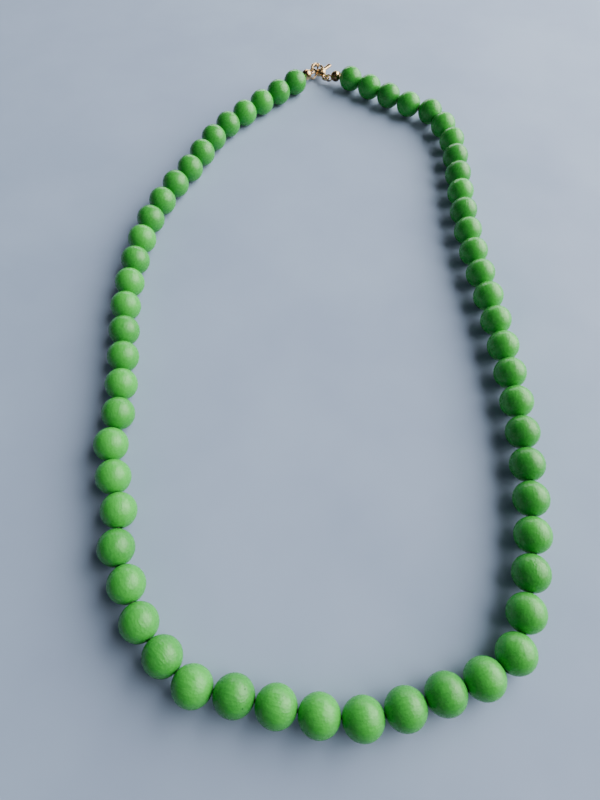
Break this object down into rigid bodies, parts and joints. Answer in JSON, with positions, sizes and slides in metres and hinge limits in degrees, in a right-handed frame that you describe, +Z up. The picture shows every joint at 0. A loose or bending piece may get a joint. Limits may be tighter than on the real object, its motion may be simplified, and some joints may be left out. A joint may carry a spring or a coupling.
{
  "type": "beaded necklace",
  "caption": "Single-strand necklace of round painted wooden beads, lying as a closed loop, with clamshell bead tips, a jump ring and a lobster claw clasp whose lever opens.",
  "frame": {"origin": "centre of the necklace's bounding box on the surface that it lies on", "axes": "+Z up from the surface, +Y towards the clasp, +X to the right with the clasp at the back"},
  "size_m": [0.1077, 0.2146, 0.008],
  "materials": {
    "bead_paint": "satin green paint on turned wood, grain showing faintly through",
    "thread": "dark waxed stringing thread",
    "gold_plate": "polished gold plate"
  },
  "bodies": {
    "necklace": {"bead_string_left": "bead_paint", "bead_string_right": "bead_paint", "bead_tip_left": "gold_plate", "bead_tip_right": "gold_plate", "jump_ring": "gold_plate", "clasp_body": "gold_plate"},
    "lever": {"clasp_lever": "gold_plate"}
  },
  "joints": [
    {"name": "lever_hinge", "type": "hinge", "parent": "necklace", "child": "lever", "pos_m": [0.00537, 0.10244, 0.0022], "axis": [0, 0, 1], "range_deg": [0, 24], "stiffness_Nm_per_rad": 0.004, "springref_deg": -5.73}
  ]
}
